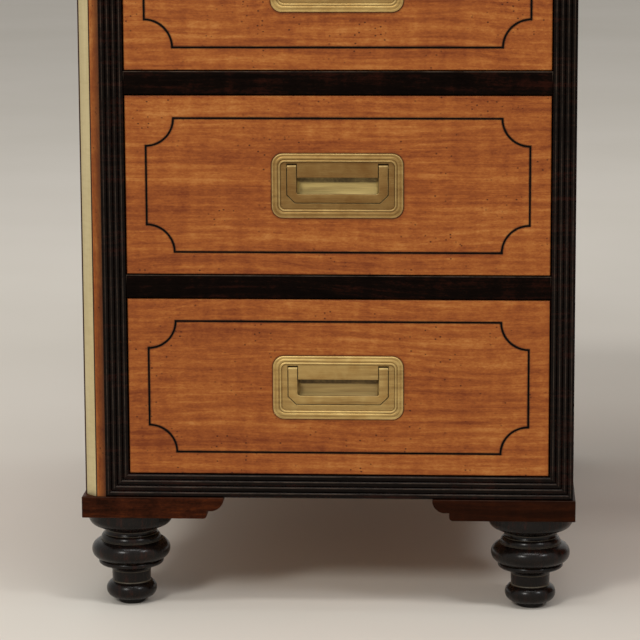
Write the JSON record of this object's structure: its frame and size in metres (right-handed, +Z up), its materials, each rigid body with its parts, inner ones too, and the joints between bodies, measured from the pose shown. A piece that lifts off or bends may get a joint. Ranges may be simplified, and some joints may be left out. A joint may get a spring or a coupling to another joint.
{
  "type": "campaign desk",
  "caption": "Pedestal campaign desk with sliding drawers, reeded dark mouldings, inlaid lines, recessed brass pulls, turned feet and a leather-lined writing top.",
  "frame": {"origin": "on the floor under the middle of the desk", "axes": "+X to the right as the sitter sees the front, +Y towards the back, +Z up"},
  "size_m": [1.3602, 0.6266, 0.7655],
  "materials": {
    "camphor_wood": "waxed, warm orange brown",
    "lining_wood": "plain, unpolished",
    "ebonised_wood": "black stained, waxed",
    "brass": "aged, hand rubbed",
    "leather": "dark red hide"
  },
  "bodies": {
    "case": {"case_sides": "camphor_wood", "case_backs": "camphor_wood", "case_boards": "lining_wood", "drawer_rails": "ebonised_wood", "reeded_mouldings": "ebonised_wood", "corner_strips": "brass", "bracket_feet": "ebonised_wood", "turned_feet": "ebonised_wood", "top_board": "camphor_wood", "writing_leather": "leather", "carrying_handle_plates": "brass"},
    "left_bottom_drawer": {"left_bottom_drawer_front": "camphor_wood", "left_bottom_drawer_box": "lining_wood", "left_bottom_stringing": "ebonised_wood", "left_bottom_pull_plate": "brass"},
    "left_bottom_pull": {"left_bottom_pull_bail": "brass"},
    "left_middle_drawer": {"left_middle_drawer_front": "camphor_wood", "left_middle_drawer_box": "lining_wood", "left_middle_stringing": "ebonised_wood", "left_middle_pull_plate": "brass"},
    "left_middle_pull": {"left_middle_pull_bail": "brass"},
    "left_top_drawer": {"left_top_drawer_front": "camphor_wood", "left_top_drawer_box": "lining_wood", "left_top_stringing": "ebonised_wood", "left_top_pull_plate": "brass"},
    "left_top_pull": {"left_top_pull_bail": "brass"},
    "right_bottom_drawer": {"right_bottom_drawer_front": "camphor_wood", "right_bottom_drawer_box": "lining_wood", "right_bottom_stringing": "ebonised_wood", "right_bottom_pull_plate": "brass"},
    "right_bottom_pull": {"right_bottom_pull_bail": "brass"},
    "right_middle_drawer": {"right_middle_drawer_front": "camphor_wood", "right_middle_drawer_box": "lining_wood", "right_middle_stringing": "ebonised_wood", "right_middle_pull_plate": "brass"},
    "right_middle_pull": {"right_middle_pull_bail": "brass"},
    "right_top_drawer": {"right_top_drawer_front": "camphor_wood", "right_top_drawer_box": "lining_wood", "right_top_stringing": "ebonised_wood", "right_top_pull_plate": "brass"},
    "right_top_pull": {"right_top_pull_bail": "brass"},
    "frieze_left_drawer": {"frieze_left_drawer_front": "camphor_wood", "frieze_left_drawer_box": "lining_wood", "frieze_left_stringing": "ebonised_wood", "frieze_left_pull_plate": "brass"},
    "frieze_left_pull": {"frieze_left_pull_bail": "brass"},
    "frieze_middle_drawer": {"frieze_middle_drawer_front": "camphor_wood", "frieze_middle_drawer_box": "lining_wood", "frieze_middle_stringing": "ebonised_wood", "frieze_middle_pull_plate": "brass"},
    "frieze_middle_pull": {"frieze_middle_pull_bail": "brass"},
    "frieze_right_drawer": {"frieze_right_drawer_front": "camphor_wood", "frieze_right_drawer_box": "lining_wood", "frieze_right_stringing": "ebonised_wood", "frieze_right_pull_plate": "brass"},
    "frieze_right_pull": {"frieze_right_pull_bail": "brass"},
    "left_outer_grip": {"left_outer_carrying_bail": "brass"},
    "left_inner_grip": {"left_inner_carrying_bail": "brass"},
    "right_inner_grip": {"right_inner_carrying_bail": "brass"},
    "right_outer_grip": {"right_outer_carrying_bail": "brass"}
  },
  "joints": [
    {"name": "left_bottom_drawer_slide", "type": "slide", "parent": "case", "child": "left_bottom_drawer", "axis": [0, -1, 0], "range_m": [0, 0.4]},
    {"name": "left_bottom_pull_swing", "type": "hinge", "parent": "left_bottom_drawer", "child": "left_bottom_pull", "pos_m": [-0.4585, -0.2989, 0.20155], "axis": [-1, 0, 0], "range_deg": [0, 100]},
    {"name": "left_middle_drawer_slide", "type": "slide", "parent": "case", "child": "left_middle_drawer", "axis": [0, -1, 0], "range_m": [0, 0.4]},
    {"name": "left_middle_pull_swing", "type": "hinge", "parent": "left_middle_drawer", "child": "left_middle_pull", "pos_m": [-0.4585, -0.2989, 0.36435], "axis": [-1, 0, 0], "range_deg": [0, 100]},
    {"name": "left_top_drawer_slide", "type": "slide", "parent": "case", "child": "left_top_drawer", "axis": [0, -1, 0], "range_m": [0, 0.4]},
    {"name": "left_top_pull_swing", "type": "hinge", "parent": "left_top_drawer", "child": "left_top_pull", "pos_m": [-0.4585, -0.2989, 0.52715], "axis": [-1, 0, 0], "range_deg": [0, 100]},
    {"name": "right_bottom_drawer_slide", "type": "slide", "parent": "case", "child": "right_bottom_drawer", "axis": [0, -1, 0], "range_m": [0, 0.4]},
    {"name": "right_bottom_pull_swing", "type": "hinge", "parent": "right_bottom_drawer", "child": "right_bottom_pull", "pos_m": [0.4585, -0.2989, 0.20155], "axis": [-1, 0, 0], "range_deg": [0, 100]},
    {"name": "right_middle_drawer_slide", "type": "slide", "parent": "case", "child": "right_middle_drawer", "axis": [0, -1, 0], "range_m": [0, 0.4]},
    {"name": "right_middle_pull_swing", "type": "hinge", "parent": "right_middle_drawer", "child": "right_middle_pull", "pos_m": [0.4585, -0.2989, 0.36435], "axis": [-1, 0, 0], "range_deg": [0, 100]},
    {"name": "right_top_drawer_slide", "type": "slide", "parent": "case", "child": "right_top_drawer", "axis": [0, -1, 0], "range_m": [0, 0.4]},
    {"name": "right_top_pull_swing", "type": "hinge", "parent": "right_top_drawer", "child": "right_top_pull", "pos_m": [0.4585, -0.2989, 0.52715], "axis": [-1, 0, 0], "range_deg": [0, 100]},
    {"name": "frieze_left_drawer_slide", "type": "slide", "parent": "case", "child": "frieze_left_drawer", "axis": [0, -1, 0], "range_m": [0, 0.4]},
    {"name": "frieze_left_pull_swing", "type": "hinge", "parent": "frieze_left_drawer", "child": "frieze_left_pull", "pos_m": [-0.4585, -0.2989, 0.6882], "axis": [-1, 0, 0], "range_deg": [0, 100]},
    {"name": "frieze_middle_drawer_slide", "type": "slide", "parent": "case", "child": "frieze_middle_drawer", "axis": [0, -1, 0], "range_m": [0, 0.4]},
    {"name": "frieze_middle_pull_swing", "type": "hinge", "parent": "frieze_middle_drawer", "child": "frieze_middle_pull", "pos_m": [0, -0.2989, 0.6882], "axis": [-1, 0, 0], "range_deg": [0, 100]},
    {"name": "frieze_right_drawer_slide", "type": "slide", "parent": "case", "child": "frieze_right_drawer", "axis": [0, -1, 0], "range_m": [0, 0.4]},
    {"name": "frieze_right_pull_swing", "type": "hinge", "parent": "frieze_right_drawer", "child": "frieze_right_pull", "pos_m": [0.4585, -0.2989, 0.6882], "axis": [-1, 0, 0], "range_deg": [0, 100]},
    {"name": "left_outer_grip_swing", "type": "hinge", "parent": "case", "child": "left_outer_grip", "pos_m": [-0.6751, 0, 0.52655], "axis": [0, 1, 0], "range_deg": [0, 100]},
    {"name": "left_inner_grip_swing", "type": "hinge", "parent": "case", "child": "left_inner_grip", "pos_m": [-0.2595, 0, 0.52655], "axis": [0, -1, 0], "range_deg": [0, 100]},
    {"name": "right_inner_grip_swing", "type": "hinge", "parent": "case", "child": "right_inner_grip", "pos_m": [0.2595, 0, 0.52655], "axis": [0, 1, 0], "range_deg": [0, 100]},
    {"name": "right_outer_grip_swing", "type": "hinge", "parent": "case", "child": "right_outer_grip", "pos_m": [0.6751, 0, 0.52655], "axis": [0, -1, 0], "range_deg": [0, 100]}
  ]
}
